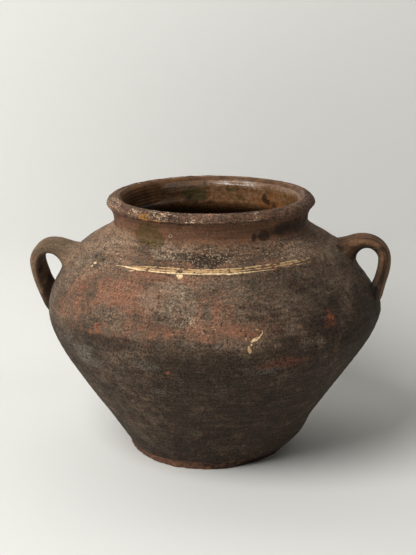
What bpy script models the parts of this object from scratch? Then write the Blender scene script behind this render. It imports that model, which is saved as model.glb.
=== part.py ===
"""Two-handled earthenware urn.

Metres, +Z up. The origin is the middle of the underside, and the handles stand along X.
The pot is built as a potter builds it: a base disc, a thrown body wall, a neck collar luted on at the
shoulder line, a thick rim, two pulled strap handles and a glaze lining.
"""
import math
from collections import namedtuple

import bmesh
import bpy
from mathutils import Vector

# Driving dimensions of the wall
FOOT_RADIUS = 0.0816
FOOT_RISE = math.radians(55.8)
BELLY_RADIUS = 0.1673
BELLY_HEIGHT = 0.1485
SHOULDER_RADIUS = 0.1282
SHOULDER_ABOVE_BELLY = 0.065
SHOULDER_PITCH = math.radians(54.0)
NECK_RADIUS = 0.0971
NECK_ABOVE_SHOULDER = 0.0247
WALL = 0.009

# Driving dimensions of the base disc and the rim
BASE_THICKNESS = 0.0066
BASE_PROUD = 0.0004
BASE_TAPER = 0.0032
BASE_ROUNDING = 0.0015
RIM_OVERHANG = 0.007
RIM_EDGE_ABOVE_NECK = 0.0168
UNDERCUT_RISE = math.radians(40.0)
CREST_ABOVE_EDGE = 0.0080
CREST_SETBACK = 0.0022
LIP_DROP = 0.0115

# Driving dimensions of the handles
RIGHT_ARCH_ABOVE_SHOULDER = 0.0086
RIGHT_LOW_ABOVE_BELLY = 0.0060
RIGHT_ROOT_RISE = math.radians(45.5)
RIGHT_ROOT_CREST = 0.0160
RIGHT_ROOT_UNDER = 0.0128
RIGHT_ARCH_THICKNESS = 0.0114
RIGHT_LIMB_THICKNESS = 0.0114
RIGHT_TWIST = math.radians(14.0)
LEFT_ARCH_ABOVE_SHOULDER = 0.0014
LEFT_LOW_ABOVE_BELLY = -0.0120
LEFT_ROOT_RISE = math.radians(33.0)
LEFT_ROOT_CREST = 0.0235
LEFT_ROOT_UNDER = 0.0090
LEFT_ARCH_THICKNESS = 0.0138
LEFT_LIMB_THICKNESS = 0.0092
LEFT_TWIST = math.radians(15.0)
ROOT_BELOW_ARCH = 0.0182
HANDLE_STANDOFF = 0.0140
HANDLE_SWING = math.radians(9.8)
STRAP_WIDTH = 0.0300
ROOT_SPREAD = 0.0190
TAIL_SPREAD = 0.0125
TAIL_SINK = 0.0012
TAIL_TURN = math.radians(24.0)
FINGER_CHANNEL = 0.0007

# Joints and glaze
JOINT_GAP = 0.0003
GROOVE_DEPTH = 0.0025
GLAZE = 0.0007

# Fineness of the meshes
SEGMENTS = 48
STRAP_POINTS = 16

# Sizes that follow from the ones above
SHOULDER_HEIGHT = BELLY_HEIGHT + SHOULDER_ABOVE_BELLY
NECK_HEIGHT = SHOULDER_HEIGHT + NECK_ABOVE_SHOULDER
RIM_EDGE_HEIGHT = NECK_HEIGHT + RIM_EDGE_ABOVE_NECK
CREST_HEIGHT = RIM_EDGE_HEIGHT + CREST_ABOVE_EDGE
FLOOR_HEIGHT = BASE_THICKNESS + JOINT_GAP

UP = Vector((0.0, 1.0))
INWARD = Vector((-1.0, 0.0))
SHOULDER_LINE = Vector((-math.cos(SHOULDER_PITCH), math.sin(SHOULDER_PITCH)))
SHOULDER_NORMAL = Vector((math.sin(SHOULDER_PITCH), math.cos(SHOULDER_PITCH)))
FOOT_LINE = Vector((math.cos(FOOT_RISE), math.sin(FOOT_RISE)))
RIM_UNDERCUT = Vector((math.cos(UNDERCUT_RISE), math.sin(UNDERCUT_RISE)))

Strap = namedtuple("Strap", "facing arch low root_rise root_crest root_under arch_thickness limb_thickness twist")
RIGHT_STRAP = Strap(
    facing=0.0,
    arch=SHOULDER_HEIGHT + RIGHT_ARCH_ABOVE_SHOULDER,
    low=BELLY_HEIGHT + RIGHT_LOW_ABOVE_BELLY,
    root_rise=RIGHT_ROOT_RISE,
    root_crest=RIGHT_ROOT_CREST,
    root_under=RIGHT_ROOT_UNDER,
    arch_thickness=RIGHT_ARCH_THICKNESS,
    limb_thickness=RIGHT_LIMB_THICKNESS,
    twist=RIGHT_TWIST,
)
LEFT_STRAP = Strap(
    facing=math.pi,
    arch=SHOULDER_HEIGHT + LEFT_ARCH_ABOVE_SHOULDER,
    low=BELLY_HEIGHT + LEFT_LOW_ABOVE_BELLY,
    root_rise=LEFT_ROOT_RISE,
    root_crest=LEFT_ROOT_CREST,
    root_under=LEFT_ROOT_UNDER,
    arch_thickness=LEFT_ARCH_THICKNESS,
    limb_thickness=LEFT_LIMB_THICKNESS,
    twist=LEFT_TWIST,
)


def curve(start, leave, leave_pull, end, arrive, arrive_pull, steps):
    """Points of a cubic curve; the pulls are shares of the straight distance."""
    span = (end - start).length
    first = start + leave * (leave_pull * span)
    second = end - arrive * (arrive_pull * span)
    points = []
    for step in range(steps + 1):
        t = step / steps
        s = 1.0 - t
        points.append(start * s ** 3 + first * (3 * s * s * t) + second * (3 * s * t * t) + end * t ** 3)
    return points


# Outline of the wall in the radius and height plane, set in from the outside by a given depth
def shoulder_point(inset):
    return Vector((SHOULDER_RADIUS, SHOULDER_HEIGHT)) - SHOULDER_NORMAL * inset


def belly_outline(inset, lower_steps, upper_steps):
    foot = Vector((FOOT_RADIUS - inset / math.sin(FOOT_RISE), FLOOR_HEIGHT))
    belly = Vector((BELLY_RADIUS - inset, BELLY_HEIGHT))
    lower = curve(foot, FOOT_LINE, 0.65, belly, UP, 0.135, lower_steps)
    upper = curve(belly, UP, 0.37, shoulder_point(inset), SHOULDER_LINE, 0.2, upper_steps)
    return lower + upper[1:]


def collar_outline(inset, steps):
    neck = Vector((NECK_RADIUS - inset, NECK_HEIGHT))
    return curve(shoulder_point(inset), SHOULDER_LINE, 0.18, neck, UP, 0.24, steps)


def rim_outside():
    neck = Vector((NECK_RADIUS, NECK_HEIGHT))
    edge = Vector((NECK_RADIUS + RIM_OVERHANG, RIM_EDGE_HEIGHT))
    crest = Vector((NECK_RADIUS - CREST_SETBACK, CREST_HEIGHT))
    flare = curve(neck, UP, 0.5, edge, RIM_UNDERCUT, 0.3, 5)
    bevel = curve(edge, UP, 0.35, crest, INWARD, 0.4, 5)
    return flare + bevel[1:]


def rim_inside(inset, steps):
    depth = inset - WALL
    crest = Vector((NECK_RADIUS - CREST_SETBACK, CREST_HEIGHT - depth))
    throat = Vector((NECK_RADIUS - inset, CREST_HEIGHT - LIP_DROP))
    lip = curve(crest, INWARD, 0.4, throat, -UP, 0.4, steps)
    return lip + [Vector((NECK_RADIUS - inset, NECK_HEIGHT))]


def groove(outside, inside, along):
    """The lowest point of the groove between two edge points of a section."""
    return (outside + inside) * 0.5 - along * GROOVE_DEPTH


def shifted(points, offset):
    return [point + offset for point in points]


# Mesh helpers
def new_object(name, mesh):
    item = bpy.data.objects.new(name, mesh)
    bpy.context.scene.collection.objects.link(item)
    return item


def finish_mesh(name, bm):
    bmesh.ops.remove_doubles(bm, verts=bm.verts, dist=1e-6)
    bmesh.ops.recalc_face_normals(bm, faces=bm.faces)
    mesh = bpy.data.meshes.new(name)
    bm.to_mesh(mesh)
    bm.free()
    return new_object(name, mesh)


def turned(name, outline):
    """A closed outline turned round the upright axis."""
    bm = bmesh.new()
    rings = []
    for point in outline:
        if point.x < 1e-7:
            rings.append([bm.verts.new((0.0, 0.0, point.y))] * SEGMENTS)
            continue
        ring = []
        for segment in range(SEGMENTS):
            angle = 2.0 * math.pi * segment / SEGMENTS
            ring.append(bm.verts.new((point.x * math.cos(angle), point.x * math.sin(angle), point.y)))
        rings.append(ring)
    for lower, upper in zip(rings, rings[1:] + rings[:1]):
        for segment in range(SEGMENTS):
            after = (segment + 1) % SEGMENTS
            corners = [lower[segment], lower[after], upper[after], upper[segment]]
            face = list(dict.fromkeys(corners))
            if len(face) > 2:
                bm.faces.new(face)
    return finish_mesh(name, bm)


def paint(item, colour, roughness, coat):
    material = bpy.data.materials.new(item.name + "_finish")
    material.use_nodes = True
    shader = material.node_tree.nodes["Principled BSDF"]
    shader.inputs["Base Color"].default_value = (*colour, 1.0)
    shader.inputs["Roughness"].default_value = roughness
    shader.inputs["Coat Weight"].default_value = coat
    item.data.materials.append(material)


# Clay sections
def make_base_disc():
    radius = FOOT_RADIUS + BASE_PROUD
    corner = Vector((radius - BASE_TAPER - BASE_ROUNDING, 0.0))
    top = Vector((radius, BASE_THICKNESS))
    side = curve(corner, Vector((1.0, 0.0)), 0.3, top, FOOT_LINE, 0.6, 6)
    return turned("base_disc", [Vector((0.0, 0.0))] + side + [Vector((0.0, BASE_THICKNESS))])


def make_body_wall():
    outside = belly_outline(0.0, 10, 6)
    inside = belly_outline(WALL, 7, 4)
    valley = groove(outside[-1], inside[-1], SHOULDER_LINE)
    return turned("body_wall", outside + [valley] + inside[::-1])


def make_neck_collar():
    outside = collar_outline(0.0, 7)
    inside = collar_outline(WALL, 5)
    ridge = groove(outside[0], inside[0], SHOULDER_LINE)
    valley = groove(outside[-1], inside[-1], UP)
    lift = SHOULDER_LINE * JOINT_GAP
    outside = shifted(outside[:1], lift) + outside[1:]
    inside = shifted(inside[:1], lift) + inside[1:]
    return turned("neck_collar", outside + [valley] + inside[::-1] + [ridge + lift])


def make_rim():
    outside = rim_outside()
    inside = rim_inside(WALL, 4)
    ridge = groove(outside[0], inside[-1], UP)
    lift = UP * JOINT_GAP
    outside = shifted(outside[:1], lift) + outside[1:]
    inside = inside[1:-1] + shifted(inside[-1:], lift)
    return turned("rim", outside + inside + [ridge + lift])


def make_glaze_lining():
    near = WALL + JOINT_GAP
    far = near + GLAZE
    back = belly_outline(near, 7, 4) + collar_outline(near, 5)[1:] + rim_inside(near, 4)[::-1][1:4]
    front = belly_outline(far, 7, 4) + collar_outline(far, 5)[1:] + rim_inside(far, 4)[::-1][1:4]
    floor = FLOOR_HEIGHT
    back[0] = Vector((back[0].x, floor))
    front[0] = Vector((front[0].x, floor + GLAZE))
    middle = [Vector((0.0, floor))]
    return turned("glaze_lining", middle + back + front[::-1] + [Vector((0.0, floor + GLAZE))])


# Strap handles
def wall_radius(height):
    outline = belly_outline(0.0, 24, 24) + collar_outline(0.0, 24)[1:]
    for below, above in zip(outline, outline[1:]):
        if below.y <= height <= above.y:
            share = (height - below.y) / (above.y - below.y)
            return below.x + (above.x - below.x) * share
    return outline[-1].x


def wall_fall(height):
    """Direction of the wall's outline, going down."""
    step = 0.25 * WALL
    return Vector((wall_radius(height - step) - wall_radius(height + step), -2.0 * step)).normalized()


def strap_spine(strap):
    """Middle line of a strap, from inside the wall at the top to inside the wall at the belly."""
    arch_level = strap.arch - strap.arch_thickness / 2.0
    root_level = strap.arch - ROOT_BELOW_ARCH
    reach = BELLY_RADIUS + HANDLE_STANDOFF - (strap.limb_thickness + FINGER_CHANNEL) / 2.0
    outward = Vector((math.cos(strap.root_rise), math.sin(strap.root_rise)))
    seat_point = Vector((wall_radius(root_level), root_level))
    root = seat_point - outward * (1.5 * WALL)
    arch = Vector((seat_point.x + 0.55 * (reach - seat_point.x), arch_level))
    side = Vector((reach, strap.low + 0.745 * (arch_level - strap.low)))
    sunk = strap.limb_thickness / 2.0 + TAIL_SINK + JOINT_GAP
    low = Vector((wall_radius(strap.low) - sunk, strap.low))
    fall = wall_fall(strap.low)
    home = fall * math.cos(TAIL_TURN) + Vector((fall.y, -fall.x)) * math.sin(TAIL_TURN)
    top = curve(root, outward, 0.35, arch, Vector((1.0, 0.0)), 0.36, 8)
    shoulder = curve(arch, Vector((1.0, 0.0)), 0.38, side, -UP, 0.38, 6)
    limb = curve(side, -UP, 0.3, low, home, 0.35, 9)
    return top + shoulder[1:] + limb[1:]


def strap_section(strap, share):
    """Half width, depth towards the loop and depth towards the outside at a share of the length."""
    root = max(0.0, 1.0 - share / 0.4) ** 2
    arch = math.exp(-((share - 0.35) / 0.22) ** 2)
    tail = max(0.0, (share - 0.7) / 0.3) ** 2
    half_width = (STRAP_WIDTH + ROOT_SPREAD * root + TAIL_SPREAD * tail) / 2.0
    half_strap = (strap.limb_thickness + (strap.arch_thickness - strap.limb_thickness) * arch) / 2.0
    return half_width, half_strap + strap.root_under * root, half_strap + strap.root_crest * root


def eased(low, high, value):
    """A smooth step from 0 at low to 1 at high."""
    t = min(max((value - low) / (high - low), 0.0), 1.0)
    return t * t * (3.0 - 2.0 * t)


def make_handle(name, strap):
    spine = strap_spine(strap)
    lengths = [0.0]
    for before, after in zip(spine, spine[1:]):
        lengths.append(lengths[-1] + (after - before).length)
    centres = []
    for point, length in zip(spine, lengths):
        angle = strap.facing - HANDLE_SWING * (length / lengths[-1])
        centres.append(Vector((point.x * math.cos(angle), point.x * math.sin(angle), point.y)))
    bm = bmesh.new()
    rings = []
    for index, centre in enumerate(centres):
        share = lengths[index] / lengths[-1]
        ahead = centres[min(index + 1, len(centres) - 1)]
        behind = centres[max(index - 1, 0)]
        along = (ahead - behind).normalized()
        facing = strap.facing - HANDLE_SWING * share
        level = Vector((-math.sin(facing), math.cos(facing), 0.0))
        level = (level - along * level.dot(along)).normalized()
        to_loop = level.cross(along)
        turn = strap.twist * eased(0.3, 0.7, share) * eased(1.0, 0.85, share)
        across = level * math.cos(turn) - to_loop * math.sin(turn)
        inward = to_loop * math.cos(turn) + level * math.sin(turn)
        half_width, loop_depth, outer_depth = strap_section(strap, share)
        ring = []
        for step in range(STRAP_POINTS):
            angle = 2.0 * math.pi * step / STRAP_POINTS
            sideways = math.copysign(abs(math.cos(angle)) ** 0.75, math.cos(angle))
            depth = math.copysign(abs(math.sin(angle)) ** 0.75, math.sin(angle))
            if depth > 0.0:
                rise = depth * loop_depth - FINGER_CHANNEL * (1.0 - sideways ** 2)
            else:
                rise = depth * outer_depth
            ring.append(bm.verts.new(centre + across * (sideways * half_width) + inward * rise))
        rings.append(ring)
    for before, after in zip(rings, rings[1:]):
        for step in range(STRAP_POINTS):
            beside = (step + 1) % STRAP_POINTS
            bm.faces.new((before[step], before[beside], after[beside], after[step]))
    bm.faces.new(rings[0][::-1])
    bm.faces.new(rings[-1])
    return finish_mesh(name, bm)


def make_seat_cutter():
    """The room the wall takes up, with the joint gap round it."""
    outline = belly_outline(-JOINT_GAP, 10, 6) + collar_outline(-JOINT_GAP, 7)[1:]
    top = [Vector((0.0, outline[-1].y))]
    bottom = [Vector((0.0, outline[0].y))]
    cutter = turned("seat_cutter", bottom + outline + top)
    cutter.hide_render = True
    cutter.display_type = "WIRE"
    return cutter


def seat(handle, cutter):
    cut = handle.modifiers.new("seat", "BOOLEAN")
    cut.operation = "DIFFERENCE"
    cut.solver = "EXACT"
    cut.object = cutter


for item in list(bpy.data.objects):
    bpy.data.objects.remove(item, do_unlink=True)

base_disc = make_base_disc()
body_wall = make_body_wall()
neck_collar = make_neck_collar()
rim = make_rim()
glaze_lining = make_glaze_lining()
right_handle = make_handle("right_handle", RIGHT_STRAP)
left_handle = make_handle("left_handle", LEFT_STRAP)
seat_cutter = make_seat_cutter()
seat(right_handle, seat_cutter)
seat(left_handle, seat_cutter)

paint(base_disc, (0.20, 0.105, 0.065), 0.9, 0.0)
paint(body_wall, (0.115, 0.085, 0.068), 0.85, 0.0)
paint(neck_collar, (0.135, 0.1, 0.078), 0.82, 0.0)
paint(rim, (0.15, 0.112, 0.09), 0.75, 0.0)
paint(left_handle, (0.12, 0.09, 0.072), 0.85, 0.0)
paint(right_handle, (0.125, 0.094, 0.076), 0.85, 0.0)
paint(glaze_lining, (0.12, 0.06, 0.02), 0.22, 0.6)
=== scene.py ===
"""Looks of the two-handled earthenware urn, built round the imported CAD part.

Metres, +Z up. A bearing is an angle round the pot's axis: 0 faces the camera and +90 degrees is the
right handle. Every clay section is a finely turned skin in the place of its CAD node.
"""

import math

import bpy
import numpy as np
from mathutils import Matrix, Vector
from mathutils.bvhtree import BVHTree


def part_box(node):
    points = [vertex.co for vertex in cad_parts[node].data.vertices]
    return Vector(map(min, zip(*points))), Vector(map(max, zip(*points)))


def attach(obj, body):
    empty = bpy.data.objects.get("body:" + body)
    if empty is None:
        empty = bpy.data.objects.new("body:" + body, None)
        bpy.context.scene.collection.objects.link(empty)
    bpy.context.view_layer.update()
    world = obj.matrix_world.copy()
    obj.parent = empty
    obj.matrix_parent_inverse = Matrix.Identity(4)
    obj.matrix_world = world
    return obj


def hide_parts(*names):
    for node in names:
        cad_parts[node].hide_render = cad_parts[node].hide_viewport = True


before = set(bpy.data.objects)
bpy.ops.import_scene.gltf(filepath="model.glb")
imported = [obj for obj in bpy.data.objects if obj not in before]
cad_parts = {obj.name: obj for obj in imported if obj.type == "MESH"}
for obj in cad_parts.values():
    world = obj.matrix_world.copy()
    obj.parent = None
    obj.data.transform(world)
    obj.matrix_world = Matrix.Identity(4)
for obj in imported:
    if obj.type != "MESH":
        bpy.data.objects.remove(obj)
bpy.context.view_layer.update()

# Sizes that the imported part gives
WALL_LOW, WALL_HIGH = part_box("body_wall")
FLOOR_HEIGHT = WALL_LOW[2]
BELLY_RADIUS = WALL_HIGH[0]
SHOULDER_HEIGHT = WALL_HIGH[2]
NECK_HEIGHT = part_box("neck_collar")[1][2]
RIM_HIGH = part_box("rim")[1]
RIM_RADIUS = RIM_HIGH[0]
CREST_HEIGHT = RIM_HIGH[2]
BASE_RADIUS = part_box("base_disc")[1][0]

# Sizes of the wall's outline that its boxes don't give
FOOT_RADIUS = 0.0816
FOOT_RISE = math.radians(55.8)
BELLY_HEIGHT = 0.1485
SHOULDER_RADIUS = 0.1282
SHOULDER_PITCH = math.radians(54.0)
NECK_RADIUS = 0.0971
WALL = 0.009
RIM_EDGE_HEIGHT = 0.255
UNDERCUT_RISE = math.radians(40.0)
CREST_RADIUS = 0.0949
LIP_DROP = 0.0115
BASE_TAPER = 0.0032
BASE_ROUNDING = 0.0015
LINING_INSET = 0.01
LINING_THICKNESS = 0.0006
LINING_FLOOR = FLOOR_HEIGHT + 0.0007
LINING_STOP = 6  # points of the lip's curve that lie past the edge of the glaze

# Fineness of the skins, and the radius at which a flat cap closes a floor
BEARINGS = 640
ROW = 0.0012
INNER_ROW = 0.006
LINING_ROW = 0.005
THROAT_ROW = 0.0007
FINE_ROW = 0.0008
CAP_RADIUS = 0.004

# What a hand leaves on the pot
BELLY_SHIFT = 0.003
BELLY_SHIFT_HEIGHT = 0.148
BELLY_SHIFT_SPAN = 0.034
RIM_TILT = math.radians(0.5)
FOOT_SWELL = 0.0036
FOOT_SWELL_HEIGHT = 0.024
FOOT_SWELL_SPAN = 0.011
FOOT_TUCK = 0.005
FOOT_TUCK_TOP = 0.013
BASE_LEDGE = 0.001
RING_PITCH = 0.0075
RING_DEPTH = 0.00016
LUMPS = 0.0006
PIT_COUNT = 420
CHIP_COUNT = 70

RANDOM = np.random.default_rng(11)
CELLS = 32
LATTICE = RANDOM.uniform(-1.0, 1.0, (CELLS, CELLS, CELLS))


# Noise and small helpers
def ease(low, high, value):
    """0 at `low`, 1 at `high` and smooth between; `low` may be the greater."""
    t = np.clip((value - low) / (high - low), 0.0, 1.0)
    return t * t * (3.0 - 2.0 * t)


def bell(value, middle, span):
    return np.exp(-((value - middle) / span) ** 2)


def unit(vectors):
    return vectors / np.linalg.norm(vectors, axis=-1, keepdims=True)


def noise(points, size):
    """Smooth noise from -1 to 1 with bumps about `size` metres across."""
    cell = np.asarray(points) / size + 7.3
    corner = np.floor(cell).astype(int)
    t = ease(0.0, 1.0, cell - corner)
    total = np.zeros(len(cell))
    for step in np.ndindex(2, 2, 2):
        pick = (corner + step) % CELLS
        share = np.prod(np.where(np.array(step) == 1, t, 1.0 - t), axis=1)
        total += share * LATTICE[pick[:, 0], pick[:, 1], pick[:, 2]]
    return total


def layered_noise(points, size, octaves):
    total = np.zeros(len(points))
    for octave in range(octaves):
        total += noise(np.asarray(points) + 0.37 * octave, size / 2 ** octave) / 2 ** octave
    return total


def place(bearing, radius, height):
    bearing, radius, height = np.broadcast_arrays(bearing, radius, height)
    return np.column_stack([
        (radius * np.sin(bearing)).ravel(), (-radius * np.cos(bearing)).ravel(), height.ravel()
    ])


def bearing_of(points):
    return np.arctan2(points[:, 0], -points[:, 1])


def radius_of(points):
    return np.hypot(points[:, 0], points[:, 1])


def pushed_out(points, amount):
    """The points, each moved away from the pot's axis by its amount."""
    out = points.copy()
    out[:, :2] += points[:, :2] / radius_of(points)[:, None] * amount[:, None]
    return out


# Outline of the pot in the radius and height plane
def direction(rise):
    return np.array([math.cos(rise), math.sin(rise)])


UP = np.array([0.0, 1.0])
INWARD = np.array([-1.0, 0.0])
FOOT_LINE = direction(FOOT_RISE)
UNDERCUT_LINE = direction(UNDERCUT_RISE)
SHOULDER_LINE = direction(math.pi - SHOULDER_PITCH)
SHOULDER_NORMAL = direction(math.pi / 2 - SHOULDER_PITCH)


def curve(start, leave, leave_pull, end, arrive, arrive_pull, steps=60):
    start = np.asarray(start, float)
    end = np.asarray(end, float)
    span = np.linalg.norm(end - start)
    first = start + leave * (leave_pull * span)
    second = end - arrive * (arrive_pull * span)
    t = np.linspace(0.0, 1.0, steps + 1)[:, None]
    s = 1.0 - t
    return start * s ** 3 + first * (3 * s * s * t) + second * (3 * s * t * t) + end * t ** 3


def spaced(points, spacing):
    """The same line with evenly spaced points."""
    lengths = np.concatenate([[0.0], np.cumsum(np.linalg.norm(np.diff(points, axis=0), axis=1))])
    count = max(2, int(round(lengths[-1] / spacing)) + 1)
    at = np.linspace(0.0, lengths[-1], count)
    return np.column_stack([np.interp(at, lengths, points[:, 0]), np.interp(at, lengths, points[:, 1])])


def edged(points):
    """The same line with one more point close to each end, so that shading stays even up to a joint."""
    first = points[0] + 0.06 * (points[1] - points[0])
    last = points[-1] + 0.06 * (points[-2] - points[-1])
    return np.vstack([points[:1], [first], points[1:-1], [last], points[-1:]])


def shoulder_point(inset):
    return np.array([SHOULDER_RADIUS, SHOULDER_HEIGHT]) - SHOULDER_NORMAL * inset


def belly_line(inset):
    foot = (FOOT_RADIUS - inset / math.sin(FOOT_RISE), FLOOR_HEIGHT)
    belly = (BELLY_RADIUS - inset, BELLY_HEIGHT)
    lower = curve(foot, FOOT_LINE, 0.65, belly, UP, 0.135)
    upper = curve(belly, UP, 0.37, shoulder_point(inset), SHOULDER_LINE, 0.2)
    return np.vstack([lower, upper[1:]])


def collar_line(inset):
    return curve(shoulder_point(inset), SHOULDER_LINE, 0.18, (NECK_RADIUS - inset, NECK_HEIGHT), UP, 0.24)


def rim_line():
    flare = curve((NECK_RADIUS, NECK_HEIGHT), UP, 0.5, (RIM_RADIUS, RIM_EDGE_HEIGHT), UNDERCUT_LINE, 0.3)
    bevel = curve((RIM_RADIUS, RIM_EDGE_HEIGHT), UP, 0.35, (CREST_RADIUS, CREST_HEIGHT), INWARD, 0.4)
    return np.vstack([flare, bevel[1:]])


def throat_line(inset):
    """From the neck joint up the inside of the rim to its crest."""
    crest = (CREST_RADIUS, CREST_HEIGHT - (inset - WALL))
    throat = (NECK_RADIUS - inset, CREST_HEIGHT - LIP_DROP)
    lip = curve(crest, INWARD, 0.4, throat, -UP, 0.4)
    return np.vstack([[(NECK_RADIUS - inset, NECK_HEIGHT)], lip[::-1]])


def base_line():
    corner = (BASE_RADIUS - BASE_TAPER - BASE_ROUNDING, 0.0)
    return curve(corner, -INWARD, 0.3, (BASE_RADIUS, FLOOR_HEIGHT), FOOT_LINE, 0.6, 12)


OUTSIDE = np.vstack([belly_line(0.0), collar_line(0.0)[1:], rim_line()[1:]])
OUTSIDE_SLOPE = np.gradient(OUTSIDE[:, 0]) / np.maximum(np.gradient(OUTSIDE[:, 1]), 1e-9)


def outside_radius(height):
    return np.interp(height, OUTSIDE[:, 1], OUTSIDE[:, 0])


def outside_normal(height):
    slope = np.interp(height, OUTSIDE[:, 1], OUTSIDE_SLOPE)
    size = np.sqrt(1.0 + slope ** 2)
    return 1.0 / size, -slope / size


# Uneven form of a hand-thrown pot
PIT_BEARING = RANDOM.uniform(-math.pi, math.pi, PIT_COUNT)
PIT_HEIGHT = RANDOM.uniform(0.02, 0.245, PIT_COUNT)
PIT_SIZE = RANDOM.uniform(0.0009, 0.0024, PIT_COUNT)
PIT_DEPTH = RANDOM.uniform(0.0003, 0.0009, PIT_COUNT)
CHIP_BEARING = RANDOM.uniform(-math.pi, math.pi, CHIP_COUNT)
CHIP_HEIGHT = RANDOM.uniform(0.248, 0.2615, CHIP_COUNT)
CHIP_SIZE = RANDOM.uniform(0.001, 0.0034, CHIP_COUNT)
CHIP_DEPTH = RANDOM.uniform(0.0003, 0.001, CHIP_COUNT)
BURST_BEARING = math.radians(-23.3)
BURST_HEIGHT = 0.2405
BURST_SIZE = 0.0014
BURST_LIP = 0.00045
BURST_DEPTH = 0.001
BURST_PLACE = place(BURST_BEARING, outside_radius(BURST_HEIGHT), BURST_HEIGHT)[0]


def relief(points):
    """How far the outside stands proud of the true outline, in metres."""
    z = points[:, 2]
    phase = (z + RING_PITCH * bearing_of(points) / math.tau) / RING_PITCH
    strength = 0.5 + 0.5 * noise(points, 0.06)
    rings = RING_DEPTH * strength * np.sin(math.tau * phase + 1.5 * noise(points, 0.03))
    lumps = LUMPS * noise(points, 0.07) + 0.4 * LUMPS * noise(points, 0.025)
    grain = 0.16 * LUMPS * noise(points, 0.007)
    pits = np.zeros(len(points))
    centres = place(PIT_BEARING, outside_radius(PIT_HEIGHT), PIT_HEIGHT)
    for centre, size, depth in zip(centres, PIT_SIZE, PIT_DEPTH):
        near = np.abs(z - centre[2]) < 2 * size
        pits[near] -= depth * bell(np.linalg.norm(points[near] - centre, axis=1), 0.0, size)
    pits -= BURST_DEPTH * bell(np.linalg.norm(points - BURST_PLACE, axis=1), 0.0, 0.6 * BURST_SIZE)
    return rings + lumps + grain + pits


def settle(points):
    """The belly sits a little right, the rim tips left and the foot is pressed round on the right."""
    z = points[:, 2]
    bearing = bearing_of(points)
    swell = FOOT_SWELL * bell(z, FOOT_SWELL_HEIGHT, FOOT_SWELL_SPAN) * ease(0.5, 1.1, bearing)
    tuck = FOOT_TUCK * ease(FOOT_TUCK_TOP, 0.0, z) * ease(0.1, 0.6, bearing)
    press = (swell - tuck) * ease(2.6, 1.9, bearing) * ease(0.04, 0.07, radius_of(points))
    out = pushed_out(points, press)
    out[:, 0] += BELLY_SHIFT * bell(z, BELLY_SHIFT_HEIGHT, BELLY_SHIFT_SPAN)
    out[:, 2] += points[:, 0] * math.tan(RIM_TILT) * ease(0.2, 0.25, z)
    return out


# Meshes
def mesh_object(name, points, faces, layers=None):
    mesh = bpy.data.meshes.new(name)
    mesh.from_pydata(points.tolist(), [], faces)
    mesh.validate()
    mesh.update()
    mesh.polygons.foreach_set("use_smooth", np.ones(len(mesh.polygons), bool))
    for layer, values in (layers or {}).items():
        mesh.attributes.new(layer, "FLOAT", "POINT").data.foreach_set("value", values.astype(np.float32))
    item = bpy.data.objects.new(name, mesh)
    bpy.context.scene.collection.objects.link(item)
    return item


def ring_faces(rows, columns, closed):
    index = np.arange(rows * columns).reshape(rows, columns)
    below = index if closed else index[:-1]
    above = np.roll(index, -1, axis=0) if closed else index[1:]
    quads = np.stack([below, np.roll(below, -1, axis=1), np.roll(above, -1, axis=1), above], axis=-1)
    return quads.reshape(-1, 4).tolist()


def capped_faces(rows, columns):
    """Faces of a row of rings, closed by a flat cap at each end."""
    first = list(range(columns))
    last = list(range((rows - 1) * columns, rows * columns))
    return ring_faces(rows, columns, False) + [first[::-1], last]


def turned_points(outline):
    bearing = np.linspace(-math.pi, math.pi, BEARINGS, endpoint=False)
    return place(bearing[None, :], outline[:, 0][:, None], outline[:, 1][:, None])


def skin_points(outline, raise_by):
    """Turned points of an outside line, moved along their normals by the relief and what else is raised."""
    points = turned_points(outline)
    along = unit(np.gradient(outline, axis=0))
    flat = np.repeat(along[:, 1], BEARINGS)
    rise = np.repeat(-along[:, 0], BEARINGS)
    amount = relief(points) + raise_by(points)
    return points + place(bearing_of(points), flat, rise) * amount[:, None]


# Strap handles: "low" is the lower root's height, "rise" the slope at which the upper root leaves the wall
# The last entry of each strap sets how strongly shade is painted on its inner face.
RIGHT_STRAP = {
    "facing": math.pi / 2, "reach": 0.18, "arch": SHOULDER_HEIGHT + 0.0086, "low": BELLY_HEIGHT + 0.006,
    "rise": math.radians(45.5), "crest": 0.016, "under": 0.0128, "twist": math.radians(14.0),
    "thickness": 0.0114, "swell": 0.0, "streaks": 1.0, "painted_shade": 1.0,
}
LEFT_STRAP = {
    "facing": -math.pi / 2, "reach": 0.1826, "arch": SHOULDER_HEIGHT + 0.0014, "low": BELLY_HEIGHT - 0.012,
    "rise": math.radians(33.0), "crest": 0.0235, "under": 0.009, "twist": math.radians(15.0),
    "thickness": 0.0092, "swell": 0.0046, "streaks": 0.4, "painted_shade": 0.5,
}
ROOT_BELOW_ARCH = 0.0182
HANDLE_SWING = math.radians(9.8)
STRAP_WIDTH = 0.03
ROOT_SPREAD = 0.019
TAIL_SPREAD = 0.0125
TAIL_SINK = 0.0012
TAIL_TURN = math.radians(24.0)
FINGER_CHANNEL = 0.0007
GROOVE_DEPTH = 0.0006
STRAP_ANGLES = np.linspace(0.0, math.tau, 120, endpoint=False)
STRAP_POINTS = len(STRAP_ANGLES)
STRAP_ROW = 0.0008
FILLET = 0.01


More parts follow.
